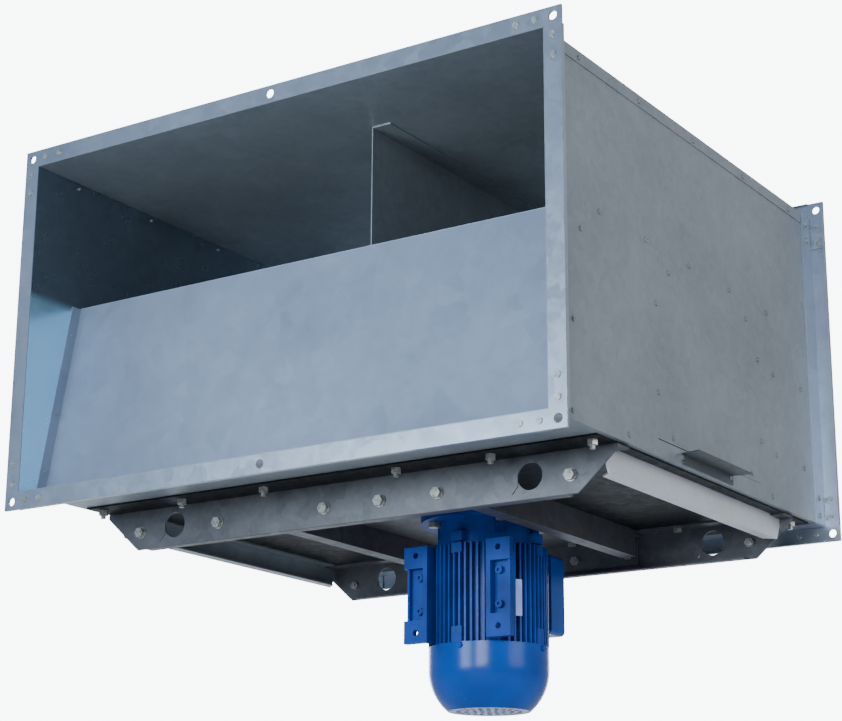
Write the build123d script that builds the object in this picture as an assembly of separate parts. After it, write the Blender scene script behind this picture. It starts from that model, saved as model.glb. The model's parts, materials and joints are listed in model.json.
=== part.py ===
from build123d import *
import math
import os

# Inline centrifugal duct fan for a 700 x 400 mm rectangular duct, with a vertical motor under the casing.
# Origin: centre of the inlet flange face. +Y is the airflow direction, +Z is up, +X is the right-hand side
# seen from the inlet. All sizes are in millimetres.

# ---- driving dimensions ----
DUCT_W = 700.0            # outside width of the duct casing
DUCT_H = 400.0            # outside height of the duct casing
LENGTH = 676.0            # inlet flange face to outlet flange face
SHEET = 1.0               # galvanised sheet thickness
FLANGE = 20.0             # height of the duct flange profile
CORNER_HOLE_R = 5.0       # flange bolt holes
AXIS_X, AXIS_Y = 48.0, 378.0   # vertical axis of the motor and impeller
DECK_Z = 41.0             # top of the deck between suction and pressure chambers
IMPELLER_R = 177.0
MOTOR_TOP = -207.0        # mounting face of the motor flange
MOTOR_R = 70.5            # radius over the cooling fins and the cowl
FRAME_BOTTOM = -249.0     # lowest edge of the cross beams

half_w, half_h = DUCT_W / 2, DUCT_H / 2
base_top = -half_h
base_bottom = base_top - 2.0          # 2 mm base plate
beam_seat = base_bottom - 2.0         # underside of the 2 mm beam flanges
beam_front, beam_rear = 148.0, 587.0  # outer faces of the cross beams

os.makedirs("parts", exist_ok=True)


# ---- small helpers ----
def block(x0, x1, y0, y1, z0, z1):
    """Box between two opposite corners."""
    return Pos((x0 + x1) / 2, (y0 + y1) / 2, (z0 + z1) / 2) * Box(abs(x1 - x0), abs(y1 - y0), abs(z1 - z0))


def rod_x(x0, x1, y, z, r):
    return Pos((x0 + x1) / 2, y, z) * Rot(0, 90, 0) * Cylinder(r, abs(x1 - x0))


def rod_y(x, y0, y1, z, r):
    return Pos(x, (y0 + y1) / 2, z) * Rot(90, 0, 0) * Cylinder(r, abs(y1 - y0))


def rod_z(x, y, z0, z1, r):
    return Pos(x, y, (z0 + z1) / 2) * Cylinder(r, abs(z1 - z0))


def hexagon_z(x, y, z0, z1, across):
    face = Pos(x, y, min(z0, z1)) * RegularPolygon(across / math.sqrt(3), 6)
    return extrude(face, amount=abs(z1 - z0), dir=(0, 0, 1))


def hexagon_y(x, y0, y1, z, across):
    face = Pos(x, min(y0, y1), z) * Rot(-90, 0, 0) * RegularPolygon(across / math.sqrt(3), 6)
    return extrude(face, amount=abs(y1 - y0), dir=(0, 1, 0))


def prism_x(points_yz, x0, x1):
    outline = make_face(Polyline(*[(x0, y, z) for y, z in points_yz], close=True))
    return extrude(outline, amount=x1 - x0, dir=(1, 0, 0))


def prism_y(points_xz, y0, y1):
    outline = make_face(Polyline(*[(x, y0, z) for x, z in points_xz], close=True))
    return extrude(outline, amount=y1 - y0, dir=(0, 1, 0))


def prism_z(points_xy, z0, z1):
    outline = make_face(Polyline(*[(x, y, z0) for x, y in points_xy], close=True))
    return extrude(outline, amount=z1 - z0, dir=(0, 0, 1))


def turned(points_rz):
    """Solid of revolution about the motor axis from (radius, height) points."""
    outline = make_face(Polyline(*[(r, 0, z) for r, z in points_rz], close=True))
    return Pos(AXIS_X, AXIS_Y, 0) * revolve(outline, Axis.Z)


def ring(z0, z1, r_outer, r_inner):
    return turned([(r_inner, z0), (r_outer, z0), (r_outer, z1), (r_inner, z1)])


def around(shape, angle):
    """Turn a shape about the motor axis."""
    return Pos(AXIS_X, AXIS_Y, 0) * Rot(0, 0, angle) * Pos(-AXIS_X, -AXIS_Y, 0) * shape


def polar(r, degrees):
    a = math.radians(degrees)
    return AXIS_X + r * math.cos(a), AXIS_Y + r * math.sin(a)


def joined(shapes):
    first, *rest = shapes
    return first.fuse(*rest) if rest else first


def cut(shape, cutters):
    return shape.cut(*cutters) if cutters else shape


def save(name, *shapes):
    """Write one node; several solids in one node stay separate solids."""
    solids = []
    for shape in shapes:
        found = shape.solids() if hasattr(shape, "solids") else [s for part in shape for s in part.solids()]
        solids.extend(found)
    export_step(solids[0] if len(solids) == 1 else Compound(solids), f"parts/{name}.step")


# ---- fastener places that several sheets share ----
base_line = [(y, -191.0) for y in (47, 165, 284, 404, 521)]
octagon = [(266, 12), (465, 12), (234, -31), (495, -31), (234, -130), (495, -130), (266, -174), (465, -174)]
bracket_screws = [(538, -39), (620, -39), (538, -138), (620, -138)]
deck_screws = [(y, DECK_Z - 6) for y in (110, 214, 318, 422, 526)]
ramp_screws = [(38, -169), (51, -96), (69, 4)]
lip_screws = [(y, half_h - 8) for y in (70, 204, 338, 472, 606)]
wall_screws = base_line + octagon + bracket_screws + deck_screws + ramp_screws
SCREW_HOLE_R, SCREW_R = 1.7, 1.6


def wall_holes(places):
    """Through holes in both side walls and in what is screwed to them."""
    return [rod_x(side * (half_w - 4), side * (half_w + 2), y, z, SCREW_HOLE_R)
            for side in (-1, 1) for y, z in places]


def side_screws(places, outer_x, inner_x):
    screws = []
    for side in (-1, 1):
        for y, z in places:
            head = rod_x(side * outer_x, side * (outer_x + 1.6), y, z, 2.9)
            slot = block(side * (outer_x + 1.0), side * (outer_x + 3), y - 1.9, y + 1.9, z - 0.35, z + 0.35)
            shank = rod_x(side * inner_x, side * (outer_x + 0.5), y, z, SCREW_R)
            screws.append(joined([head, shank]).cut(slot))
    return screws


# ---- casing sheets ----
base_bolt_places = [(side * x, y) for y in (122.0, 615.0) for x in (90, 209, 330) for side in (-1, 1)]
service_opening = rod_z(AXIS_X, AXIS_Y, base_bottom, base_top + 3, IMPELLER_R + 10)

top = joined([
    block(-half_w, half_w, 0, LENGTH, half_h - SHEET, half_h),
    block(-half_w - SHEET, half_w + SHEET, 31, LENGTH - 31, half_h - SHEET, half_h),
    block(half_w, half_w + SHEET, 31, LENGTH - 31, half_h - 14, half_h),
    block(-half_w - SHEET, -half_w, 31, LENGTH - 31, half_h - 14, half_h),
])
save("casing_top", cut(top, wall_holes(lip_screws)))

for side, name in ((1, "casing_side_right"), (-1, "casing_side_left")):
    wall = block(side * (half_w - SHEET), side * half_w, 0, LENGTH, SHEET - half_h, half_h - SHEET)
    slit = block(side * (half_w - 2), side * (half_w + 1), 230, 484, -182, -181)
    save(name, cut(wall, wall_holes(wall_screws + lip_screws) + [slit]))

flange_y0, flange_y1 = 45.5, LENGTH - 31
bottom = joined([block(-half_w, half_w, 0, LENGTH, base_top, base_top + SHEET)] + [
    block(side * (half_w - 2 * SHEET), side * (half_w - SHEET), flange_y0, flange_y1, base_top, base_top + 16)
    for side in (-1, 1)])
bottom_cuts = [service_opening] + [rod_z(x, y, base_bottom, base_top + 3, 3.2) for x, y in base_bolt_places]
save("casing_bottom", cut(bottom, bottom_cuts + wall_holes(base_line)))

lug_y0, lug_y1 = 284.0, 410.0
lugs = []
for side in (-1, 1):
    wall_leg = block(side * half_w, side * (half_w + 1.2), lug_y0, lug_y1, -198, -186)
    shelf = prism_z([(side * half_w, lug_y0), (side * (half_w + 23), lug_y0 - 5),
                     (side * (half_w + 23), lug_y1 + 5), (side * half_w, lug_y1)], -187.2, -186)
    lugs.append(joined([wall_leg, shelf]).cut(rod_x(side * (half_w - 4), side * (half_w + 5), 404, -191, 4.2),
                                              rod_x(side * (half_w - 4), side * (half_w + 5), 284, -191, 4.2)))
save("side_lugs", lugs)


# ---- duct flanges ----
rivet_offsets = (31.0, 53.0)          # from the outer corner of the flange
mid_hole_z = half_h + FLANGE / 2
outer_w, outer_h = half_w + FLANGE, half_h + FLANGE
leg_depth, profile, lip_depth = 30.0, 1.2, 6.0


def face_rivet_places():
    places = []
    for sx in (-1, 1):
        for sz in (-1, 1):
            for offset in rivet_offsets:
                places.append((sx * (outer_w - offset), sz * (half_h + FLANGE / 2)))
                places.append((sx * (half_w + FLANGE / 2), sz * (outer_h - offset)))
    return places


def bar_section(sign, wall, y_face, into):
    """Profile section as (across, along) points: face leg, turned outer edge, leg on the casing wall."""
    section = [(0, 0), (FLANGE, 0), (FLANGE, lip_depth), (FLANGE - profile, lip_depth),
               (FLANGE - profile, profile), (profile, profile), (profile, leg_depth), (0, leg_depth)]
    return [(sign * (wall + a), y_face + into * d) for a, d in section]


def build_flange(name, y_face, into):
    bars, plates, rivets, cutters = [], [], [], []
    for x, z in face_rivet_places():
        cutters.append(rod_y(x, y_face - into, y_face + into * 5, z, SCREW_HOLE_R))
        rivets.append(joined([rod_y(x, y_face - into * 1.3, y_face, z, 3.5),
                              rod_y(x, y_face - into * 0.5, y_face + into * 3.4, z, SCREW_R),
                              rod_y(x, y_face + into * 3.2, y_face + into * 5.2, z, 2.5)]))
    leg_cutters = []
    for side in (-1, 1):
        for sz in (-1, 1):
            for offset in rivet_offsets:
                z, y = sz * (outer_h - offset), y_face + into * 15
                leg_cutters.append(rod_x(side * (half_w - 3), side * (half_w + 3), y, z, SCREW_HOLE_R))
                rivets.append(joined([
                    rod_x(side * (half_w + profile), side * (half_w + profile + 1.3), y, z, 3.3),
                    rod_x(side * half_w, side * (half_w + profile + 0.5), y, z, SCREW_R)]))
    for sign in (-1, 1):
        long_bar = prism_x([(y, z) for z, y in bar_section(sign, half_h, y_face, into)], -half_w, half_w)
        mid_hole = rod_y(0, y_face - into, y_face + into * 5, sign * mid_hole_z, CORNER_HOLE_R)
        bars.append(cut(long_bar, cutters + [mid_hole]))
        upright = prism_z([(x, y) for x, y in bar_section(sign, half_w, y_face, into)], -half_h, half_h)
        bars.append(cut(upright, cutters + leg_cutters))
    for sx in (-1, 1):
        for sz in (-1, 1):
            inner, outer = profile + 0.2, FLANGE - profile - 0.2
            y0, y1 = y_face + into * profile, y_face + into * (profile + 2)
            square = block(sx * half_w, sx * outer_w, y_face, y1, sz * half_h, sz * outer_h)
            leg_x = block(sx * (outer_w - 62), sx * (half_w + 1), y0, y1,
                          sz * (half_h + inner), sz * (half_h + outer))
            leg_z = block(sx * (half_w + inner), sx * (half_w + outer), y0, y1,
                          sz * (outer_h - 62), sz * (half_h + 1))
            hole = rod_y(sx * (half_w + FLANGE / 2), y_face - into, y1 + into,
                         sz * mid_hole_z, CORNER_HOLE_R)
            plates.append(cut(joined([square, leg_x, leg_z]), cutters + [hole]))
    save(name + "_flange_bars", bars)
    return plates, rivets


inlet_plates, inlet_rivets = build_flange("inlet", 0.0, 1)
outlet_plates, outlet_rivets = build_flange("outlet", LENGTH, -1)
save("flange_corner_plates", inlet_plates, outlet_plates)
save("flange_rivets", inlet_rivets, outlet_rivets)


# ---- inside partitions ----
inner_x = half_w - SHEET
ramp_foot_y, ramp_head_y = 40.0, 84.0
ramp = joined([
    prism_x([(ramp_foot_y, base_top + SHEET), (ramp_foot_y + 1, base_top + SHEET),
             (ramp_head_y + 1, DECK_Z), (ramp_head_y, DECK_Z)], -inner_x, inner_x),
    block(-inner_x, inner_x, ramp_head_y, ramp_head_y + 15, DECK_Z, DECK_Z + SHEET),
    block(-inner_x, inner_x, ramp_foot_y - 14, ramp_foot_y + 0.6, base_top + SHEET, base_top + 2 * SHEET),
] + [
    prism_x([(ramp_foot_y - 14, base_top + SHEET), (ramp_foot_y + 0.5, base_top + SHEET),
             (ramp_head_y + 0.5, DECK_Z), (ramp_head_y - 14, DECK_Z)],
            min(side * (inner_x - SHEET), side * inner_x), max(side * (inner_x - SHEET), side * inner_x))
    for side in (-1, 1)])
save("inlet_ramp", cut(ramp, wall_holes(ramp_screws)))

deck_rear = 548.0
deck = joined([block(-inner_x, inner_x, ramp_head_y + 2, deck_rear, DECK_Z - SHEET, DECK_Z)] + [
    block(side * (inner_x - SHEET), side * inner_x, ramp_head_y + 2, deck_rear, DECK_Z - 15, DECK_Z)
    for side in (-1, 1)])
cone_screw_places = [polar(142, 22.5 + 45 * i) for i in range(8)]
cone_screw_holes = [rod_z(x, y, DECK_Z - 5, DECK_Z + 5, SCREW_HOLE_R) for x, y in cone_screw_places]
deck_opening = rod_z(AXIS_X, AXIS_Y, DECK_Z - 5, DECK_Z + 5, 135)
save("partition_deck", cut(deck, wall_holes(deck_screws) + cone_screw_holes + [deck_opening]))

closing = joined([
    prism_x([(deck_rear, DECK_Z), (deck_rear + 1, DECK_Z), (593, half_h - SHEET), (592, half_h - SHEET)],
            -inner_x, inner_x),
    block(-inner_x, inner_x, deck_rear - 18, deck_rear + 0.6, DECK_Z, DECK_Z + SHEET),
    block(-inner_x, inner_x, 592, 608, half_h - 2 * SHEET, half_h - SHEET),
])
save("rear_closing_plate", closing)

plate_x, plate_front = 55.0, 119.0
swirl = joined([
    block(plate_x, plate_x + 1.2, plate_front, 520, DECK_Z + 5, half_h - SHEET),
    block(plate_x, plate_x + 25, plate_front, 520, half_h - SHEET - 1.2, half_h - SHEET),
])
save("anti_swirl_plate", swirl)

THROAT_R, CONE_ARC = 112.0, 55.4
cone_end, cone_skin = -34.0, 1.2


def cone_arc_point(radius, z):
    """Radius of the bell mouth at height z, for one of its two concentric arcs."""
    return THROAT_R + CONE_ARC - math.sqrt(radius ** 2 - (z + 2) ** 2)


def bell_mouth():
    top_z = DECK_Z + cone_skin
    inner = [(cone_arc_point(CONE_ARC, z), z) for z in (top_z, 20.0, -2.0)]
    outer = [(cone_arc_point(CONE_ARC - cone_skin, z), z) for z in (-2.0, 20.0, DECK_Z)]
    def arc(points):
        return ThreePointArc(*[(r, 0, z) for r, z in points])
    edges = [arc(inner),
             Polyline((*inner[2][:1], 0, -2.0), (THROAT_R, 0, cone_end), (THROAT_R + cone_skin, 0, cone_end),
                      (outer[0][0], 0, -2.0)),
             arc(outer),
             Polyline((outer[2][0], 0, DECK_Z), (150, 0, DECK_Z), (150, 0, top_z), (inner[0][0], 0, top_z))]
    return Pos(AXIS_X, AXIS_Y, 0) * revolve(make_face(edges), Axis.Z)


save("inlet_cone", cut(bell_mouth(), cone_screw_holes))
save("inlet_cone_screws", [joined([
    rod_z(x, y, DECK_Z + cone_skin, DECK_Z + cone_skin + 2, 3.5),
    rod_z(x, y, DECK_Z - 3, DECK_Z + cone_skin + 0.5, SCREW_R)]) for x, y in cone_screw_places])

# Spiral housing round the impeller: its radius grows evenly from the tongue to the outlet side.
tongue_angle, tongue_r, outlet_r = 65.0, 203.0, 264.0
scroll_low, scroll_high = base_top + SHEET, DECK_Z - SHEET


def spiral(offset):
    steps = 12
    points = []
    for i in range(steps + 1):
        share = i / steps
        angle = tongue_angle + (360 - tongue_angle) * share
        points.append(polar(tongue_r + (outlet_r - tongue_r) * share + offset, angle))
    return points


def scroll_sheet():
    inner, outer = spiral(0.0), spiral(1.2)
    lift = lambda p: (p[0], p[1], scroll_low)
    straight_end = 590.0
    edges = [Spline(*[lift(p) for p in inner]),
             Polyline(lift(inner[-1]), (inner[-1][0], straight_end, scroll_low),
                      (outer[-1][0], straight_end, scroll_low), lift(outer[-1])),
             Spline(*[lift(p) for p in reversed(outer)]),
             Line(lift(outer[0]), lift(inner[0]))]
    return extrude(make_face(edges), amount=scroll_high - scroll_low, dir=(0, 0, 1))


save("scroll_wall", scroll_sheet())

cheek = [(234, -31), (266, 12), (465, 12), (495, -31), (495, -130), (465, -174), (266, -174), (234, -130)]
cheek_centre = (365.0, -81.0)


def grown(points, centre, amount):
    """Move each corner away from the centre."""
    out = []
    for y, z in points:
        dy, dz = y - centre[0], z - centre[1]
        k = 1 + amount / math.hypot(dy, dz)
        out.append((centre[0] + dy * k, centre[1] + dz * k))
    return out


cheeks = []
for side in (-1, 1):
    x0, x1 = sorted((side * (inner_x - 1.2), side * inner_x))
    plate = prism_x(grown(cheek, cheek_centre, 9), x0, x1)
    opening = prism_x(grown(cheek, cheek_centre, -24), x0 - 1, x1 + 1)
    cheeks.append(cut(plate, wall_holes(octagon) + [opening]))
brackets = []
for side in (-1, 1):
    x0, x1 = sorted((side * (inner_x - 1.2), side * inner_x))
    web = block(x0, x1, 528, 632, -150, -27)
    brackets.append(cut(web, wall_holes(bracket_screws) + [block(x0 - 1, x1 + 1, 552, 608, -124, -53)]))
save("wall_stiffeners", cheeks, brackets)
save("wall_screws", side_screws(wall_screws, half_w, half_w - 4),
     side_screws(lip_screws, half_w + SHEET, half_w - 3))


# ---- service module under the casing ----
motor_bolt_places = [polar(65, 45 + 90 * i) for i in range(4)]
base = block(-343, 343, 107, 640, base_bottom, base_top)
base_cuts = [rod_z(x, y, base_bottom - 1, base_top + 1, 3.2) for x, y in base_bolt_places]
base_cuts += [rod_z(x, y, base_bottom - 1, base_top + 1, 9.5) for x, y in motor_bolt_places]
base_cuts.append(rod_z(AXIS_X, AXIS_Y, base_bottom - 1, base_top + 1, 34))
plate_bolt_places = [(x, y) for y in (162.0, 573.0) for x in (-80, -23.5, 51.5, 120)]
beam_bolt_places = [(side * 200.0, y) for y in (162.0, 573.0) for side in (-1, 1)]
module_bolt_places = plate_bolt_places + beam_bolt_places
base_cuts += [rod_z(x, y, base_bottom - 1, base_top + 1, 3.2) for x, y in module_bolt_places]
save("base_plate", cut(base, base_cuts))

module_bolts = [joined([
    hexagon_z(x, y, base_top + SHEET, base_top + SHEET + 4, 10),
    rod_z(x, y, base_bottom - 10, base_top + SHEET + 0.5, 3.0)]) for x, y in base_bolt_places]
base_nuts = [hexagon_z(x, y, base_bottom - 6, base_bottom, 10).cut(
    rod_z(x, y, base_bottom - 7, base_bottom + 1, 3.05)) for x, y in base_bolt_places]

# Cross beams: pressed channels with chamfered ends, two large holes, and flanges turned inwards.
beam_top_half, beam_low_half, beam_skin, beam_flange = 345.0, 297.0, 2.0, 25.0
big_hole_x, big_hole_r, big_hole_z = 241.0, 15.0, -224.0
cross_bolt_x = (-292.0, -175.0, -23.5, 51.5, 126.5, 290.0)
cross_bolt_z = -229.0
slit_w = 0.9


def cross_beam(y_web, into):
    """Channel with its web at y_web; its flanges point the way into says."""
    corner_z = -207.0
    web = prism_y([(-beam_top_half, base_bottom), (beam_top_half, base_bottom), (beam_top_half, corner_z),
                   (beam_low_half + 5, FRAME_BOTTOM + 4), (beam_low_half, FRAME_BOTTOM),
                   (-beam_low_half, FRAME_BOTTOM), (-beam_low_half - 5, FRAME_BOTTOM + 4),
                   (-beam_top_half, corner_z)],
                  min(y_web, y_web + into * beam_skin), max(y_web, y_web + into * beam_skin))
    upper = block(-beam_top_half, beam_top_half, y_web, y_web + into * beam_flange, beam_seat, base_bottom)
    lower = block(-beam_low_half + 12, beam_low_half - 12, y_web, y_web + into * 12,
                  FRAME_BOTTOM, FRAME_BOTTOM + beam_skin)
    beam = joined([web, upper, lower])
    bend = [e for e in beam.edges() if abs(e.center().Z - FRAME_BOTTOM) < 0.01
            and abs(e.center().Y - y_web) < 0.01 and e.length > 400]
    beam = fillet(bend, 1.6) if bend else beam
    y0, y1 = y_web - into * 3, y_web + into * (beam_skin + 1)
    cuts = [rod_y(side * big_hole_x, y0, y1, big_hole_z, big_hole_r) for side in (-1, 1)]
    for side in (-1, 1):
        edge_x = side * big_hole_x - big_hole_r + 0.5
        cuts.append(block(edge_x - slit_w / 2, edge_x + slit_w / 2, y0, y1, big_hole_z - 10, big_hole_z))
        cuts.append(prism_y([(edge_x - slit_w / 2, big_hole_z - 9), (edge_x + slit_w / 2, big_hole_z - 9.6),
                             (edge_x - 6.6, big_hole_z - 18), (edge_x - 7.4, big_hole_z - 17.4)],
                            min(y0, y1), max(y0, y1)))
    cuts += [rod_y(x, y0, y1, cross_bolt_z, 3.3) for x in cross_bolt_x]
    cuts += [rod_z(x, y, beam_seat - 1, base_bottom + 1, 3.2) for x, y in module_bolt_places]
    return cut(beam, cuts)


save("front_beam", cross_beam(beam_front, 1))
save("rear_beam", cross_beam(beam_rear, -1))

# Side rails: channels between the beams, open towards the middle, with mitred ends.
rail_face, rail_low = 329.0, -229.5
rail_y0, rail_y1 = beam_front + 2.2, beam_rear - 2.2
for side, name in ((1, "side_rail_right"), (-1, "side_rail_left")):
    x0, x1 = sorted((side * (rail_face - 2), side * rail_face))
    web = prism_x([(rail_y0 + 26, base_bottom), (rail_y1 - 26, base_bottom), (rail_y1 - 26, beam_seat),
                   (rail_y1, beam_seat), (rail_y1, -214), (rail_y1 - 9, rail_low),
                   (rail_y0 + 9, rail_low), (rail_y0, -214), (rail_y0, beam_seat), (rail_y0 + 26, beam_seat)],
                  x0, x1)
    upper = block(side * (rail_face - 20), side * rail_face, rail_y0 + 26, rail_y1 - 26, beam_seat, base_bottom)
    lower = prism_z([(side * rail_face, rail_y0 + 9), (side * (rail_face - 14), rail_y0 + 20),
                     (side * (rail_face - 14), rail_y1 - 20), (side * rail_face, rail_y1 - 9)],
                    rail_low, rail_low + 2)
    save(name, joined([web, upper, lower]))

# Middle beams, one each side of the motor, with their flanges turned to the left.
mid_low = -235.5
mid_y0, mid_y1 = 173.5, 561.5
for face_x, name in ((148.0, "middle_beam_right"), (-106.0, "middle_beam_left")):
    web = block(face_x - 2, face_x, mid_y0, mid_y1, mid_low, base_bottom)
    upper = block(face_x - 20, face_x, mid_y0, mid_y1, beam_seat, base_bottom)
    lower = block(face_x - 20, face_x, mid_y0, mid_y1, mid_low, mid_low + 2)
    save(name, joined([web, upper, lower]))

# Motor plate under the beam flanges, with turned-down ends bolted to both cross beams.
plate_top, plate_low = beam_seat, beam_seat - 3.0
plate = joined([
    block(-104, 146, beam_front + 2, beam_rear - 2, plate_low, plate_top),
    block(-104, 140, beam_front + 2, beam_front + 5, -242, plate_top),
    block(-104, 140, beam_rear - 5, beam_rear - 2, -242, plate_top),
])
plate_cuts = [rod_z(AXIS_X, AXIS_Y, plate_low - 1, plate_top + 1, 55.1)]
plate_cuts += [rod_z(x, y, plate_low - 1, plate_top + 1, 4.3) for x, y in motor_bolt_places]
plate_cuts += [rod_z(x, y, plate_low - 1, plate_top + 1, 3.2) for x, y in plate_bolt_places]
plate_cuts += [rod_y(x, y, y + 9, cross_bolt_z, 3.3) for x in cross_bolt_x[2:5]
               for y in (beam_front - 1, beam_rear - 8)]
save("motor_plate", cut(plate, plate_cuts))

for x, y in plate_bolt_places:
    module_bolts.append(joined([hexagon_z(x, y, plate_low - 4, plate_low, 10),
                                rod_z(x, y, plate_low - 1, base_top - 0.2, 3.1)]))
for x, y in beam_bolt_places:
    module_bolts.append(joined([hexagon_z(x, y, beam_seat - 4, beam_seat, 10),
                                rod_z(x, y, beam_seat - 1, base_top - 0.2, 3.1)]))
save("module_bolts", module_bolts)


def beam_bolts():
    """Hex bolts with washers through the cross beams, heads outside, with nuts behind."""
    bolts, nuts = [], []
    for y_web, into in ((beam_front, 1), (beam_rear, -1)):
        for x in cross_bolt_x:
            thick = 5.0 if x in cross_bolt_x[2:5] else 2.0
            washer = rod_y(x, y_web - into * 1.2, y_web, cross_bolt_z, 7.0)
            head = hexagon_y(x, y_web - into * 6.2, y_web - into * 1.2, cross_bolt_z, 11)
            shank = rod_y(x, y_web - into * 1.5, y_web + into * (thick + 8), cross_bolt_z, 3.0)
            bolts.append(joined([washer, head, shank]))
            nut = hexagon_y(x, y_web + into * thick, y_web + into * (thick + 5), cross_bolt_z, 10)
            nuts.append(nut.cut(rod_y(x, y_web, y_web + into * 20, cross_bolt_z, 3.05)))
    return bolts, nuts


bolts, nuts = beam_bolts()
save("beam_bolts", bolts)
save("module_nuts", nuts, base_nuts)


# ---- motor, fixed parts ----
neck_r, neck_low = 60.0, -246.0
frame_low = -363.0
quarter_turns = (0, 90, 180, 270)

shield = turned([(14, -203.5), (55, -203.5), (55, MOTOR_TOP), (80, MOTOR_TOP), (80, -217), (neck_r, -217),
                 (neck_r, neck_low), (54, neck_low), (54, -231), (20, -231), (20, -218.5), (9, -218.5),
                 (9, -210.5), (14, -210.5)])
ear = block(AXIS_X + 56, AXIS_X + 70, AXIS_Y - 7, AXIS_Y + 7, -246.0, -234.5)
shield = joined([shield] + [around(ear, a) for a in quarter_turns])
shield_cuts = [rod_z(x, y, -240, -200, 4.6) for x, y in motor_bolt_places]
shield_cuts += [rod_z(x, y, -236, -217, 8.8) for x, y in motor_bolt_places]
shield_cuts += [rod_z(*polar(64.5, a), -250, -230, 2.2) for a in quarter_turns]
save("flange_end_shield", cut(shield, shield_cuts))

fin_step, fin_w = 6, 2.4
no_fins = [(-58, -43), (-137, -122), (62, 118)]     # where the feet and the terminal box sit


def frame_section():
    """Ring with radial cooling fins."""
    section = Circle(neck_r)
    for i in range(360 // fin_step):
        angle = -180 + fin_step * i + fin_step / 2
        if any(low < angle < high for low, high in no_fins):
            continue
        middle = (neck_r - 2 + MOTOR_R) / 2
        section += Rot(0, 0, angle) * Pos(middle, 0) * Rectangle(MOTOR_R - neck_r + 2, fin_w)
    return section - Circle(54)


finned = extrude(Pos(AXIS_X, AXIS_Y, frame_low) * frame_section(), amount=neck_low - frame_low - 2.5,
                 dir=(0, 0, 1))
collar = ring(neck_low - 3, neck_low, neck_r, 54)
upper_ear = block(AXIS_X + 56, AXIS_X + MOTOR_R, AXIS_Y - 7, AXIS_Y + 7, -260, neck_low - 2.5)
lower_ear = block(AXIS_X + 56, AXIS_X + MOTOR_R, AXIS_Y - 7, AXIS_Y + 7, frame_low, -345)
FOOT_PLANE = AXIS_Y - 71.0
foot_bolt_x, foot_bolt_z = 54.0, (-284.5, -323.5)


def boss(side):
    x0, x1 = sorted((AXIS_X + side * 40, AXIS_X + side * 57.5))
    return block(x0, x1, FOOT_PLANE + 21, AXIS_Y - 34, -340, -268)


box_seat_y = AXIS_Y + 72.5
box_top, box_low = -243.5, -339.5
seat = block(AXIS_X - 34, AXIS_X + 34, AXIS_Y + 48, box_seat_y, box_low + 4, box_top - 6)
frame = joined([finned, collar, seat, boss(1), boss(-1)] + [around(e, a) for e in (upper_ear, lower_ear)
                                                           for a in quarter_turns])
frame_cuts = [rod_z(AXIS_X, AXIS_Y, frame_low - 1, neck_low + 1, 54)]
frame_cuts += [rod_z(*polar(64.5, a), z0, z1, 2.2) for a in quarter_turns
               for z0, z1 in ((-262, -245), (frame_low - 1, -344))]
frame_cuts += [rod_y(AXIS_X + side * foot_bolt_x, FOOT_PLANE + 18, FOOT_PLANE + 36, z, 2.6)
               for side in (-1, 1) for z in foot_bolt_z]
frame_cuts.append(rod_y(AXIS_X, AXIS_Y + 50, box_seat_y + 1, -292, 14))
save("motor_frame", cut(frame, frame_cuts))

feet, foot_bolts = [], []
foot_top, foot_low = -248.5, -361.0
for side in (-1, 1):
    def span(x0, x1, y0, y1, z0, z1):
        a, b = sorted((AXIS_X + side * x0, AXIS_X + side * x1))
        return block(a, b, FOOT_PLANE + y0, FOOT_PLANE + y1, z0, z1)
    foot = joined([
        span(40, 72, 0, 8, foot_top - 25.5, foot_top), span(40, 72, 0, 8, foot_low, foot_low + 26.5),
        span(40, 46, 0, 21, foot_low, foot_top), span(40, 70, 10, 16, -344, -264),
        span(67, 70, 4, 16, foot_low + 26, foot_top - 25), span(40, 64, 15, 21, -344, -264)])
    foot_cuts = [rod_y(AXIS_X + side * 56, FOOT_PLANE - 1, FOOT_PLANE + 9, z, 3.5) for z in (-259, -349)]
    foot_cuts += [rod_y(AXIS_X + side * foot_bolt_x, FOOT_PLANE + 9, FOOT_PLANE + 22, z, 3.0)
                  for z in foot_bolt_z]
    feet.append(cut(foot, foot_cuts))
    for z in foot_bolt_z:
        x = AXIS_X + side * foot_bolt_x
        foot_bolts.append(joined([rod_y(x, FOOT_PLANE + 4.5, FOOT_PLANE + 10, z, 4.5),
                                  rod_y(x, FOOT_PLANE + 9, FOOT_PLANE + 34, z, 2.5)]).cut(
            hexagon_y(x, FOOT_PLANE + 4, FOOT_PLANE + 7, z, 4)))
save("motor_feet", feet)
save("foot_bolts", foot_bolts)

# Rear end shield, closed by the cowl.
rear = turned([(17.5, -363), (60, -363), (60, -371), (24, -371), (24, -376), (9, -376), (9, -374), (17.5, -374)])
rear_ear = block(AXIS_X + 56, AXIS_X + 68.5, AXIS_Y - 7, AXIS_Y + 7, -371, -363)
rear = joined([rear] + [around(rear_ear, a) for a in quarter_turns])
rear_cuts = [rod_z(*polar(64.5, a), -372, -362, 2.2) for a in quarter_turns]
rear_cuts += [around(rod_x(AXIS_X + 60, AXIS_X + 70, AXIS_Y + 4.6, -367, 1.2), a) for a in quarter_turns]
save("rear_end_shield", cut(rear, rear_cuts))
shield_screws = []
for a in quarter_turns:
    x, y = polar(64.5, a)
    shield_screws.append(joined([rod_z(x, y, -234.5, -231.5, 3.8), rod_z(x, y, -258, -234, 2.1)]))
    shield_screws.append(joined([rod_z(x, y, -374, -371, 3.6), rod_z(x, y, -371.5, -350, 2.1)]))
save("end_shield_screws", shield_screws)

save("stator_core", ring(-334, -274, 53.95, 32))
save("stator_windings", ring(-349, -334, 50, 34.5), ring(-274, -259, 50, 34.5))
save("shaft_seal", ring(-210.5, -203.5, 14, 7.06))
save("bearing_outer_rings", ring(-230.5, -218.5, 20, 16.7), ring(-374, -363, 17.5, 15.0))

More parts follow.
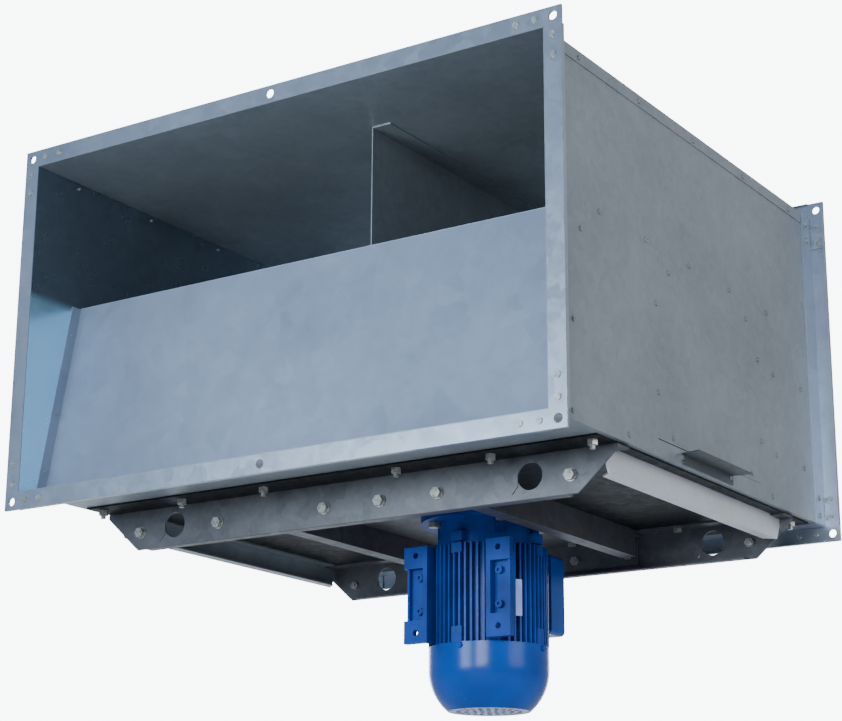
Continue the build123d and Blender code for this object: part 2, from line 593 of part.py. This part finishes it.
# Cowl: a straight skirt, a rounded shoulder and a flat grille.
SHOULDER_Z, COWL_BOTTOM, COWL_FLAT_R, COWL_ARC = -388.0, -436.0, 48.0, 62.4
COWL_SKIN = 1.5


def cowl_radius(arc, z):
    return MOTOR_R - COWL_ARC + math.sqrt(arc ** 2 - (z - SHOULDER_Z) ** 2)


def cowl_shell():
    inner_arc = COWL_ARC - COWL_SKIN
    inside_bottom = COWL_BOTTOM + COWL_SKIN
    outer = [(cowl_radius(COWL_ARC, z), 0, z) for z in (SHOULDER_Z, -415.0, COWL_BOTTOM)]
    inner = [(cowl_radius(inner_arc, z), 0, z) for z in (inside_bottom, -415.0, SHOULDER_Z)]
    edges = [Line((MOTOR_R, 0, frame_low - 0.1), outer[0]), ThreePointArc(*outer),
             Polyline(outer[2], (0, 0, COWL_BOTTOM), (0, 0, inside_bottom), inner[0]),
             ThreePointArc(*inner),
             Polyline(inner[2], (MOTOR_R - COWL_SKIN, 0, frame_low - 0.1), (MOTOR_R, 0, frame_low - 0.1))]
    return Pos(AXIS_X, AXIS_Y, 0) * revolve(make_face(edges), Axis.Z)


grille = [(x, y) for r, count in ((9, 6), (18, 12), (27, 18), (36, 24))
          for x, y in (polar(r, 360 * i / count) for i in range(count))]
cowl_cuts = [rod_z(x, y, COWL_BOTTOM - 1, COWL_BOTTOM + 2, 3.0) for x, y in grille]
cowl_cuts += [around(rod_x(AXIS_X + 66, AXIS_X + 73, AXIS_Y + 4.6, -367, 1.7), a) for a in quarter_turns]
save("fan_cowl", cut(cowl_shell(), cowl_cuts))
cowl_screws = [around(joined([rod_x(AXIS_X + 70.7, AXIS_X + 72.6, AXIS_Y + 4.6, -367, 3.4),
                              rod_x(AXIS_X + 61, AXIS_X + 71, AXIS_Y + 4.6, -367, 1.15)]), a)
               for a in quarter_turns]

# Motor flange bolts and the nuts above the motor plate.
flange_bolts = [joined([
    hexagon_z(x, y, -222.5, -217, 13), rod_z(x, y, -217.5, -196, 4.0)]) for x, y in motor_bolt_places]
flange_nuts = [hexagon_z(x, y, plate_top, plate_top + 6.5, 13).cut(
    rod_z(x, y, plate_top - 1, plate_top + 8, 4.05)) for x, y in motor_bolt_places]
save("motor_flange_bolts", flange_bolts, flange_nuts)

# Terminal box on the side away from the feet.
box_half, box_y1 = 43.0, 482.0
gland_y = 462.5
tb_outer = block(AXIS_X - box_half, AXIS_X + box_half, box_seat_y, box_y1 - 8, box_low, box_top)
tb_edges = tb_outer.edges().filter_by(Axis.Y)
tb_outer = fillet(tb_edges, 6)
tb = tb_outer.cut(block(AXIS_X - box_half + 3, AXIS_X + box_half - 3, box_seat_y + 3, box_y1,
                        box_low + 3, box_top - 3),
                  rod_y(AXIS_X, box_seat_y - 1, box_seat_y + 4, -292, 14),
                  rod_z(AXIS_X, gland_y, box_low - 1, box_low + 4, 8.1))
box_posts = [(AXIS_X + sx * 35.5, z) for sx in (-1, 1) for z in (box_top - 8, box_low + 8)]
tb = joined([tb] + [rod_y(x, box_seat_y + 2, box_y1 - 8, z, 5.4) for x, z in box_posts])
tb = cut(tb, [rod_y(x, box_y1 - 20, box_y1, z, 1.8) for x, z in box_posts])
save("terminal_box", tb)

lid = fillet(block(AXIS_X - box_half, AXIS_X + box_half, box_y1 - 8, box_y1, box_low, box_top)
             .edges().filter_by(Axis.Y), 6)
raised = block(AXIS_X - 30, AXIS_X + 30, box_y1 - 1, box_y1 + 8, -320, -263.5)
raised = chamfer(raised.faces().sort_by(Axis.Y)[-1].edges(), 3)
lid_cuts = [rod_y(x, box_y1 - 9, box_y1 + 1, z, 2.2) for x, z in box_posts]
lid_cuts.append(block(AXIS_X - 28, AXIS_X + 28, box_y1 - 9, box_y1 + 5, -318, -265.5))
lid_cuts += [block(AXIS_X + s * 31, AXIS_X + s * (box_half - 4), box_y1 - 9, box_y1 - 3, box_low + 18,
                   box_top - 18) for s in (-1, 1)]
lid = cut(joined([lid, raised]), lid_cuts)
save("terminal_box_lid", lid)
lid_screws = [joined([rod_y(x, box_y1, box_y1 + 2.5, z, 3.6),
                      rod_y(x, box_y1 - 19, box_y1 + 0.5, z, 1.75)]) for x, z in box_posts]
save("cover_screws", cowl_screws, lid_screws)
tb_block = block(AXIS_X - 22, AXIS_X + 22, box_seat_y + 3, box_seat_y + 15, -285, -263)
studs = [rod_y(AXIS_X + dx, box_seat_y + 14, box_seat_y + 21, z, 2.0)
         for dx in (-14, 0, 14) for z in (-279, -269)]
save("terminal_block", joined([tb_block] + studs))
gland_body = joined([hexagon_z(AXIS_X, gland_y, box_low - 6, box_low, 20),
                     rod_z(AXIS_X, gland_y, box_low, box_low + 9, 8.0),
                     rod_z(AXIS_X, gland_y, box_low - 18, box_low - 6, 8.5)])
save("cable_gland", gland_body.cut(rod_z(AXIS_X, gland_y, box_low - 19, box_low + 10, 4.5)))

nameplate = block(AXIS_X + MOTOR_R, AXIS_X + MOTOR_R + 1, AXIS_Y - 5.5, AXIS_Y + 5.5, -334, -292)
save("nameplate", around(nameplate, -30.5))


# ---- rotor: everything that turns with the shaft ----
shaft = turned([(0, -402), (6, -402), (6, -374), (7.5, -374), (7.5, -362.5), (10, -362.5), (10, -231),
                (8.5, -231), (8.5, -218), (7, -218), (7, -177), (0, -177)])
keyway = block(AXIS_X + 4, AXIS_X + 10, AXIS_Y - 2.5, AXIS_Y + 2.5, -196, -180)
tapped = rod_z(AXIS_X, AXIS_Y, -195, -176, 3.0)
save("motor_shaft", shaft.cut(keyway, tapped))
save("shaft_key", block(AXIS_X + 4, AXIS_X + 9.3, AXIS_Y - 2.5, AXIS_Y + 2.5, -196, -180))
save("rotor_core", ring(-334, -274, 31.6, 10))
save("bearing_inner_rings", ring(-230.5, -218.5, 11.3, 8.5), ring(-374, -363, 10.0, 7.5))
balls = [Pos(*polar(14.0, 45 * i), -224.5) * Sphere(2.6) for i in range(8)]
balls += [Pos(*polar(12.5, 45 * i), -368.5) * Sphere(2.4) for i in range(8)]
save("bearing_balls", balls)

WHEEL_LOW, WHEEL_TOP = -170.0, -66.0
hub = turned([(0, -197), (22, -197), (22, -174), (45, -174), (45, WHEEL_LOW), (24, WHEEL_LOW), (24, -166),
              (0, -166)])
hub_rivet_places = [polar(36, 60 * i) for i in range(6)]
hub_rivet_holes = [rod_z(x, y, -176, -166, 2.6) for x, y in hub_rivet_places]
hub_bore = rod_z(AXIS_X, AXIS_Y, -198, -176.9, 7.0)
hub_slot = block(AXIS_X, AXIS_X + 9.4, AXIS_Y - 2.5, AXIS_Y + 2.5, -198, -180)
hub_screw_hole = rod_z(AXIS_X, AXIS_Y, -180, -165, 3.2)
save("impeller_hub", cut(hub, hub_rivet_holes + [hub_bore, hub_slot, hub_screw_hole]))
save("hub_rivets", [joined([rod_z(x, y, -168.5, -166.5, 4.4), rod_z(x, y, -174, -168, 2.55),
                            rod_z(x, y, -176, -174, 4.2)]) for x, y in hub_rivet_places])
save("hub_screw", joined([rod_z(AXIS_X, AXIS_Y, -166, -164, 9), hexagon_z(AXIS_X, AXIS_Y, -164, -159, 10),
                          rod_z(AXIS_X, AXIS_Y, -192, -165, 2.95)]))

backplate = ring(WHEEL_LOW, WHEEL_LOW + 1.5, IMPELLER_R, 24.0)
save("impeller_backplate", cut(backplate, hub_rivet_holes))
EYE_R, SHROUD_SKIN = 116.5, 1.2
eye_z = -45.0
shroud = turned([(EYE_R, -28), (EYE_R, eye_z), (IMPELLER_R, WHEEL_TOP), (IMPELLER_R, WHEEL_TOP + SHROUD_SKIN),
                 (EYE_R + SHROUD_SKIN, eye_z + SHROUD_SKIN), (EYE_R + SHROUD_SKIN, -28)])
save("impeller_shroud", shroud)

blade_count, blade_sweep, blade_skin = 9, 38.0, 2.0
blade_in, blade_out = 119.0, 174.0


def blade():
    """Backward-curved blade: a circular arc from the inner radius to the outer one."""
    def side_arc(offset):
        ends = []
        for share in (0.0, 0.5, 1.0):
            r = blade_in + (blade_out - blade_in) * share
            bow = 4.5 * (1 - (2 * share - 1) ** 2)
            x, y = polar(r + offset + bow, -blade_sweep * share)
            ends.append((x, y, WHEEL_LOW + 1.5))
        return ends
    inner, outer = side_arc(0.0), side_arc(blade_skin)
    edges = [ThreePointArc(*inner), Line(inner[2], outer[2]),
             ThreePointArc(*reversed(outer)), Line(outer[0], inner[0])]
    return extrude(make_face(edges), amount=130, dir=(0, 0, 1))


under_shroud = turned([(EYE_R, WHEEL_LOW - 5), (IMPELLER_R + 3, WHEEL_LOW - 5),
                       (IMPELLER_R + 3, WHEEL_TOP - (3.0 / (IMPELLER_R - EYE_R)) * (eye_z - WHEEL_TOP)),
                       (EYE_R, eye_z)])
one_blade = blade() & under_shroud
save("impeller_blades", [around(one_blade, 360 / blade_count * i) for i in range(blade_count)])

fan_disc = turned([(6, -398), (13, -398), (13, -384), (34, -384), (34, -382), (6, -382)])
fan_blades = [around(block(AXIS_X + 11, AXIS_X + 60, AXIS_Y - 0.9, AXIS_Y + 0.9, -398, -383), 60 * i)
              for i in range(6)]
save("cooling_fan", joined([fan_disc] + fan_blades))
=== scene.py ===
import json
import math

import bpy
from mathutils import Matrix, Vector

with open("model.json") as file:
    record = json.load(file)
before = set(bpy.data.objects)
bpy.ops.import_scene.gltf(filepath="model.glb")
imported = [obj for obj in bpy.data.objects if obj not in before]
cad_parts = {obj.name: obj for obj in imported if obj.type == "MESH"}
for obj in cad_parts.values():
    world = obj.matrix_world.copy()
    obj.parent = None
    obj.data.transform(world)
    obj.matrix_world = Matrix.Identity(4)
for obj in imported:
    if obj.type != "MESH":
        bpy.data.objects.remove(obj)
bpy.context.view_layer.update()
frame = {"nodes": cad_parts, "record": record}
nodes = frame["nodes"]
record = frame["record"]


# ---- camera: below the duct, in front and to the right ----
CAMERA_PLACE = Vector((1.26704, -1.59681, -0.68124))
CAMERA_FORWARD = Vector((-0.53298, 0.79964, 0.27660))
CAMERA_UP = Vector((0.14916, -0.23298, 0.96097))
LENS_MM, SENSOR_MM = 84.95, 36.0
BACKDROP_WAY = (-0.533, 0.800, 0.277)


def make_camera():
    data = bpy.data.cameras.new("camera")
    data.lens, data.sensor_width = LENS_MM, SENSOR_MM
    data.clip_start, data.clip_end = 0.05, 50.0
    camera = bpy.data.objects.new("camera", data)
    bpy.context.scene.collection.objects.link(camera)
    back = -CAMERA_FORWARD.normalized()
    right = CAMERA_UP.cross(back).normalized()
    up = back.cross(right)
    turn = Matrix((right, up, back)).transposed().to_4x4()
    camera.matrix_world = Matrix.Translation(CAMERA_PLACE) @ turn
    bpy.context.scene.camera = camera


make_camera()


# ---- node helpers ----
class Nodes:
    """Short way to add and link shader nodes."""

    def __init__(self, material):
        self.tree = material.node_tree
        self.shader = self.tree.nodes["Principled BSDF"]

    def add(self, kind, **values):
        node = self.tree.nodes.new(kind)
        for key, value in values.items():
            if hasattr(node, key):
                setattr(node, key, value)
            else:
                node.inputs[key.replace("_", " ")].default_value = value
        return node

    def link(self, a, b):
        self.tree.links.new(a, b)

    def place(self):
        return self.add("ShaderNodeTexCoord").outputs["Object"]

    def ramp(self, source, stops):
        node = self.add("ShaderNodeValToRGB")
        elements = node.color_ramp.elements
        while len(elements) < len(stops):
            elements.new(0.5)
        for element, (at, colour) in zip(elements, stops):
            element.position = at
            element.color = (*colour, 1.0)
        self.link(source, node.inputs["Fac"])
        return node.outputs["Color"]

    def mix(self, factor, a, b):
        node = self.add("ShaderNodeMix", data_type="RGBA")
        inputs = node.inputs
        for value, socket in ((factor, inputs["Factor"]), (a, inputs["A"]), (b, inputs["B"])):
            if isinstance(value, (float, int)):
                socket.default_value = value
            elif isinstance(value, tuple):
                socket.default_value = (*value, 1.0)
            else:
                self.link(value, socket)
        return node.outputs["Result"]

    def spread(self, source, low, high):
        node = self.add("ShaderNodeMapRange")
        node.inputs["To Min"].default_value = low
        node.inputs["To Max"].default_value = high
        self.link(source, node.inputs["Value"])
        return node.outputs["Result"]

    def bump(self, height, strength, distance):
        node = self.add("ShaderNodeBump")
        node.inputs["Strength"].default_value = strength
        node.inputs["Distance"].default_value = distance
        self.link(height, node.inputs["Height"])
        self.link(node.outputs["Normal"], self.shader.inputs["Normal"])


def new_material(name, metallic, roughness, coat=0.0):
    material = bpy.data.materials.new(name)
    material.use_nodes = True
    shader = material.node_tree.nodes["Principled BSDF"]
    shader.inputs["Metallic"].default_value = metallic
    shader.inputs["Roughness"].default_value = roughness
    shader.inputs["Coat Weight"].default_value = coat
    shader.inputs["Coat Roughness"].default_value = 0.06
    shader.inputs["Specular IOR Level"].default_value = 0.2
    return material, Nodes(material)


# ---- materials ----
def zinc(name, dark, light, metallic=0.75, rough=(0.36, 0.52), spangle=95.0, contrast=1.0, edge=0.15):
    """Hot-dip zinc: crystal spangle of a few millimetres, soft cloudy stains, rolled streaks."""
    material, n = new_material(name, metallic, 0.45)
    place = n.place()
    warp = n.add("ShaderNodeTexNoise", Scale=60.0, Detail=2.0)
    n.link(place, warp.inputs["Vector"])
    shifted = n.add("ShaderNodeVectorMath", operation="MULTIPLY_ADD")
    shifted.inputs[1].default_value = (0.006, 0.006, 0.006)
    n.link(warp.outputs["Color"], shifted.inputs[0])
    n.link(place, shifted.inputs[2])
    crystals = n.add("ShaderNodeTexVoronoi", Scale=spangle)
    n.link(shifted.outputs[0], crystals.inputs["Vector"])
    fine = n.add("ShaderNodeTexVoronoi", Scale=spangle * 2.7)
    n.link(shifted.outputs[0], fine.inputs["Vector"])
    clouds = n.add("ShaderNodeTexNoise", Scale=7.0, Detail=4.0, Roughness=0.6)
    n.link(place, clouds.inputs["Vector"])
    grains = n.mix(0.35, crystals.outputs["Color"], fine.outputs["Color"])
    level = n.add("ShaderNodeSeparateColor")
    n.link(grains, level.inputs[0])
    mixed = n.add("ShaderNodeMath", operation="MULTIPLY_ADD")
    mixed.inputs[1].default_value = 0.45 * contrast
    n.link(level.outputs[0], mixed.inputs[0])
    half_cloud = n.add("ShaderNodeMath", operation="MULTIPLY")
    half_cloud.inputs[1].default_value = 0.9
    n.link(clouds.outputs["Fac"], half_cloud.inputs[0])
    n.link(half_cloud.outputs[0], mixed.inputs[2])
    colour = n.ramp(mixed.outputs[0], [(0.25, dark), (0.95, light)])
    n.link(colour, n.shader.inputs["Base Color"])
    n.link(n.spread(level.outputs[1], *rough), n.shader.inputs["Roughness"])
    n.bump(level.outputs[2], edge, 0.0006)
    return material


def fastener(name):
    """Zinc plated fastener with fine turned marks and dulled patches."""
    material, n = new_material(name, 0.6, 0.35)
    place = n.place()
    patches = n.add("ShaderNodeTexNoise", Scale=320.0, Detail=3.0)
    n.link(place, patches.inputs["Vector"])
    n.link(n.ramp(patches.outputs["Fac"], [(0.3, (0.20, 0.21, 0.20)), (0.75, (0.42, 0.43, 0.41))]),
           n.shader.inputs["Base Color"])
    n.link(n.spread(patches.outputs["Fac"], 0.2, 0.45), n.shader.inputs["Roughness"])
    n.bump(patches.outputs["Fac"], 0.15, 0.0003)
    return material


def enamel(name, deep, bright, rough, grain, depth, coat):
    """Blue motor enamel: orange-peel or cast grain, slightly thinner and lighter on high spots."""
    material, n = new_material(name, 0.0, rough, coat)
    place = n.place()
    texture = n.add("ShaderNodeTexNoise", Scale=grain, Detail=3.0, Roughness=0.55)
    n.link(place, texture.inputs["Vector"])
    broad = n.add("ShaderNodeTexNoise", Scale=22.0, Detail=2.0)
    n.link(place, broad.inputs["Vector"])
    n.link(n.ramp(broad.outputs["Fac"], [(0.3, deep), (0.72, bright)]), n.shader.inputs["Base Color"])
    n.link(n.spread(texture.outputs["Fac"], rough * 0.75, rough * 1.3), n.shader.inputs["Roughness"])
    n.bump(texture.outputs["Fac"], 0.25, depth)
    return material


def machined(name, dark, light, rough):
    """Turned or stacked steel: fine rings across the vertical axis."""
    material, n = new_material(name, 1.0, rough)
    place = n.place()
    rings = n.add("ShaderNodeTexWave", bands_direction="Z", Scale=420.0, Distortion=0.4)
    n.link(place, rings.inputs["Vector"])
    n.link(n.ramp(rings.outputs["Fac"], [(0.0, dark), (1.0, light)]), n.shader.inputs["Base Color"])
    n.link(n.spread(rings.outputs["Fac"], rough * 0.8, rough * 1.3), n.shader.inputs["Roughness"])
    n.bump(rings.outputs["Fac"], 0.1, 0.0002)
    return material


def copper(name):
    """Varnished winding wire running round the stator."""
    material, n = new_material(name, 0.8, 0.35, 0.5)
    place = n.place()
    wires = n.add("ShaderNodeTexWave", wave_type="RINGS", rings_direction="Z", Scale=300.0,
                  Distortion=1.5)
    n.link(place, wires.inputs["Vector"])
    n.link(n.ramp(wires.outputs["Fac"], [(0.2, (0.25, 0.08, 0.03)), (0.9, (0.78, 0.36, 0.16))]),
           n.shader.inputs["Base Color"])
    n.bump(wires.outputs["Fac"], 0.5, 0.0006)
    return material


def moulded(name, colour, rough):
    """Matt rubber or plastic with a fine moulding grain."""
    material, n = new_material(name, 0.0, rough)
    place = n.place()
    grain = n.add("ShaderNodeTexNoise", Scale=900.0, Detail=2.0)
    n.link(place, grain.inputs["Vector"])
    lighter = tuple(c * 1.8 + 0.01 for c in colour)
    n.link(n.ramp(grain.outputs["Fac"], [(0.3, colour), (0.8, lighter)]), n.shader.inputs["Base Color"])
    n.link(n.spread(grain.outputs["Fac"], rough * 0.85, min(rough * 1.2, 1.0)),
           n.shader.inputs["Roughness"])
    n.bump(grain.outputs["Fac"], 0.2, 0.0002)
    return material


SLOT_MATERIALS = {
    "galvanised_sheet": zinc("zinc_sheet", (0.18, 0.205, 0.23), (0.28, 0.315, 0.345), 0.7,
                             (0.34, 0.44), 95.0, 0.55, 0.05),
    "galvanised_flange": zinc("zinc_flange", (0.26, 0.30, 0.36), (0.38, 0.43, 0.51), 0.85,
                              (0.28, 0.40), 70.0, 0.4, 0.04),
    # galvanised_frame: darker than the sheet zinc; the darkness is partly duller zinc and partly painted
    # shade for the frame under the casing.
    "galvanised_frame": zinc("zinc_frame_dark_and_shaded", (0.06, 0.063, 0.073), (0.14, 0.145, 0.16), 0.7,
                             (0.40, 0.55), 80.0, 0.6, 0.08),
    "zinc_fastener": fastener("zinc_plating"),
    "motor_casting_blue": enamel("cast_blue", (0.0, 0.022, 0.14), (0.0, 0.045, 0.27), 0.45, 520.0,
                                 0.0005, 0.03),
    "gloss_blue_cover": enamel("gloss_blue", (0.0, 0.034, 0.20), (0.0, 0.050, 0.28), 0.24, 260.0,
                               0.0001, 0.0),
    "lamination_steel": machined("lamination", (0.18, 0.18, 0.19), (0.36, 0.36, 0.37), 0.45),
    "machined_steel": machined("turned_steel", (0.55, 0.55, 0.54), (0.74, 0.74, 0.72), 0.25),
    "impeller_steel": zinc("zinc_impeller", (0.22, 0.24, 0.26), (0.45, 0.48, 0.50), 0.8,
                           (0.3, 0.45), 120.0, 0.7),
    "copper_winding": copper("winding_copper"),
    "seal_rubber": moulded("seal_rubber_black", (0.015, 0.015, 0.015), 0.7),
    "black_plastic": moulded("plastic_black", (0.02, 0.02, 0.022), 0.5),
    "nameplate_metal": zinc("plate_metal", (0.12, 0.16, 0.36), (0.18, 0.23, 0.46), 0.5, (0.3, 0.4),
                            60.0, 0.3),
}
# A few nodes get their own zinc: painted shade darkens the base plate and the side lugs, painted light
# brightens the right rail, and the ramp, left wall and wall screws are duller, darker or smoother than
# the rest of their slot.
NODE_MATERIALS = {
    # base_plate: nearly black zinc, painted shade standing for the shaded underside of the plate.
    "base_plate": zinc("zinc_underside_painted_shade", (0.003, 0.005, 0.006), (0.010, 0.013, 0.015), 0.6,
                       (0.45, 0.6), 80.0, 0.6, 0.08),
    # side_rail_right: lighter zinc, painted light for the rail face turned towards the lamps.
    "side_rail_right": zinc("zinc_rail_painted_light", (0.42, 0.44, 0.47), (0.58, 0.60, 0.64), 0.5, (0.36, 0.46),
                            95.0, 0.4, 0.05),
    # side_lugs: dark zinc, painted shade for the undersides of the lugs.
    "side_lugs": zinc("zinc_lug_painted_shade", (0.06, 0.07, 0.075), (0.10, 0.115, 0.125), 0.6, (0.40, 0.5), 90.0,
                      0.5, 0.05),
    "inlet_ramp": zinc("zinc_ramp", (0.165, 0.205, 0.275), (0.25, 0.30, 0.39), 0.6, (0.42, 0.52),
                       40.0, 0.35, 0.02),
    "casing_side_left": zinc("zinc_left", (0.13, 0.17, 0.22), (0.21, 0.27, 0.34), 0.85,
                             (0.20, 0.28), 95.0, 0.4, 0.03),
    "wall_screws": zinc("zinc_dull_screw", (0.16, 0.18, 0.19), (0.30, 0.33, 0.35), 0.6, (0.35, 0.5),
                        300.0, 0.6, 0.1),
}


def lighten_beside_ramp(material):
    """The inner face of the left wall is brighter and bluer where the ramp shines onto it."""
    n = Nodes(material)
    base = n.shader.inputs["Base Color"]
    plain = base.links[0].from_socket
    place = n.add("ShaderNodeSeparateXYZ")
    n.link(n.place(), place.inputs[0])
    facing = n.add("ShaderNodeSeparateXYZ")
    n.link(n.add("ShaderNodeNewGeometry").outputs["Normal"], facing.inputs[0])
    parts = []
    for source, low, high in ((place.outputs["Z"], 0.045, 0.030), (place.outputs["Y"], 0.10, 0.08),
                              (facing.outputs["X"], 0.4, 0.6)):
        span = n.add("ShaderNodeMapRange", interpolation_type="SMOOTHSTEP")
        span.inputs["From Min"].default_value = min(low, high)
        span.inputs["From Max"].default_value = max(low, high)
        span.inputs["To Min"].default_value = 1.0 if low > high else 0.0
        span.inputs["To Max"].default_value = 0.0 if low > high else 1.0
        n.link(source, span.inputs["Value"])
        parts.append(span.outputs["Result"])
    both = n.add("ShaderNodeMath", operation="MULTIPLY")
    n.link(parts[0], both.inputs[0])
    n.link(parts[1], both.inputs[1])
    mask = n.add("ShaderNodeMath", operation="MULTIPLY")
    n.link(both.outputs[0], mask.inputs[0])
    n.link(parts[2], mask.inputs[1])
    n.link(n.mix(mask.outputs[0], plain, (0.42, 0.76, 0.98)), base)


lighten_beside_ramp(NODE_MATERIALS["casing_side_left"])
for entry in record["subparts"]:
    name = entry["node"]
    target = nodes[name]
    target.data.materials.clear()
    target.data.materials.append(NODE_MATERIALS.get(name) or SLOT_MATERIALS[entry["material_slot"]])


# ---- stage ----
FLOOR_Z, FLOOR_HALF = -1.05, 14.0


def make_floor():
    data = bpy.data.meshes.new("floor")
    corners = [(-FLOOR_HALF, -FLOOR_HALF), (FLOOR_HALF, -FLOOR_HALF), (FLOOR_HALF, FLOOR_HALF),
               (-FLOOR_HALF, FLOOR_HALF)]
    data.from_pydata([(x, y, FLOOR_Z) for x, y in corners], [], [(0, 1, 2, 3)])
    floor = bpy.data.objects.new("floor", data)
    bpy.context.scene.collection.objects.link(floor)
    material, n = new_material("floor_pale", 0.0, 0.7)
    n.shader.inputs["Base Color"].default_value = (0.60, 0.61, 0.62, 1.0)
    data.materials.append(material)


def make_light(name, place, target, power, width, height, colour, spread=180):
    data = bpy.data.lights.new(name, "AREA")
    data.shape, data.size, data.size_y = "RECTANGLE", width, height
    data.energy, data.color = power, colour
    data.spread = math.radians(spread)
    light = bpy.data.objects.new(name, data)
    bpy.context.scene.collection.objects.link(light)
    light.location = place
    light.rotation_euler = (Vector(target) - Vector(place)).to_track_quat("-Z", "Y").to_euler()


def make_world():
    """Soft grey studio all round, cooler in front of the inlet, with a white backdrop behind the fan."""
    world = bpy.data.worlds.new("studio")
    bpy.context.scene.world = world
    world.use_nodes = True
    tree = world.node_tree
    background = tree.nodes["Background"]
    place = tree.nodes.new("ShaderNodeTexCoord")
    split = tree.nodes.new("ShaderNodeSeparateXYZ")
    tree.links.new(place.outputs["Generated"], split.inputs[0])
    along = tree.nodes.new("ShaderNodeMapRange")
    along.inputs["From Min"].default_value = -1.0
    tree.links.new(split.outputs["Y"], along.inputs["Value"])
    tint = tree.nodes.new("ShaderNodeValToRGB")
    tint.color_ramp.elements[0].position = 0.25
    tint.color_ramp.elements[0].color = (0.50, 0.70, 1.0, 1.0)
    tint.color_ramp.elements[1].position = 0.62
    tint.color_ramp.elements[1].color = (0.92, 0.96, 1.0, 1.0)
    tree.links.new(along.outputs["Result"], tint.inputs["Fac"])
    tree.links.new(tint.outputs["Color"], background.inputs["Color"])
    facing = tree.nodes.new("ShaderNodeVectorMath")
    facing.operation = "DOT_PRODUCT"
    facing.inputs[1].default_value = BACKDROP_WAY
    tree.links.new(place.outputs["Generated"], facing.inputs[0])
    glow = tree.nodes.new("ShaderNodeMapRange")
    glow.interpolation_type = "SMOOTHSTEP"
    glow.inputs["From Min"].default_value = 0.86
    glow.inputs["From Max"].default_value = 0.945
    glow.inputs["To Min"].default_value = 0.62
    glow.inputs["To Max"].default_value = 9.0
    tree.links.new(facing.outputs["Value"], glow.inputs["Value"])
    tree.links.new(glow.outputs["Result"], background.inputs["Strength"])


make_floor()
make_world()
make_light("key", (1.1, -2.7, 0.15), (-0.1, 0.1, -0.05), 78, 1.1, 0.8, (0.84, 0.92, 1.0))
make_light("inlet", (-0.25, -1.1, -0.22), (0.12, 0.3, 0.16), 4, 0.5, 0.3, (0.80, 0.92, 1.0), 70)
make_light("right", (3.0, 0.1, 0.5), (0.3, 0.35, -0.1), 42, 1.6, 1.6, (1.0, 0.99, 0.97))
make_light("top", (-0.6, 0.3, 3.0), (0, 0.3, 0), 40, 2.0, 2.0, (1.0, 1.0, 1.0))
make_light("glint", (0.35, -1.3, -0.25), (0.05, 0.35, -0.40), 1.6, 0.10, 0.05, (1.0, 1.0, 1.0))
